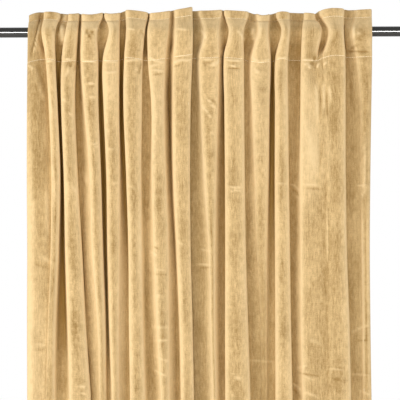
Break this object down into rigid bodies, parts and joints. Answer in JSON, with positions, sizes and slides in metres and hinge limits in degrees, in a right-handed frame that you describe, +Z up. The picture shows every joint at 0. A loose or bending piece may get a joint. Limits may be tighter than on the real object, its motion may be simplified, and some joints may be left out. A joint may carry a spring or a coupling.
{
  "type": "pair of curtains on a rod",
  "caption": "Pair of velvet curtains gathered on a round metal rod by a sewn rod pocket, with a short header above it and uneven hanging folds",
  "frame": {"origin": "on the rod's axis, halfway along the rod", "axes": "+Z up, the curtains face -Y, the rod runs along X"},
  "size_m": [1.2, 0.0894, 2.4589],
  "materials": {
    "velvet": "sand-coloured cotton velvet, matt with a bright sheen along the folds",
    "rod_metal": "dark graphite gloss paint"
  },
  "bodies": {
    "root": {"left_panel": "velvet", "right_panel": "velvet", "rod": "rod_metal"}
  },
  "joints": []
}
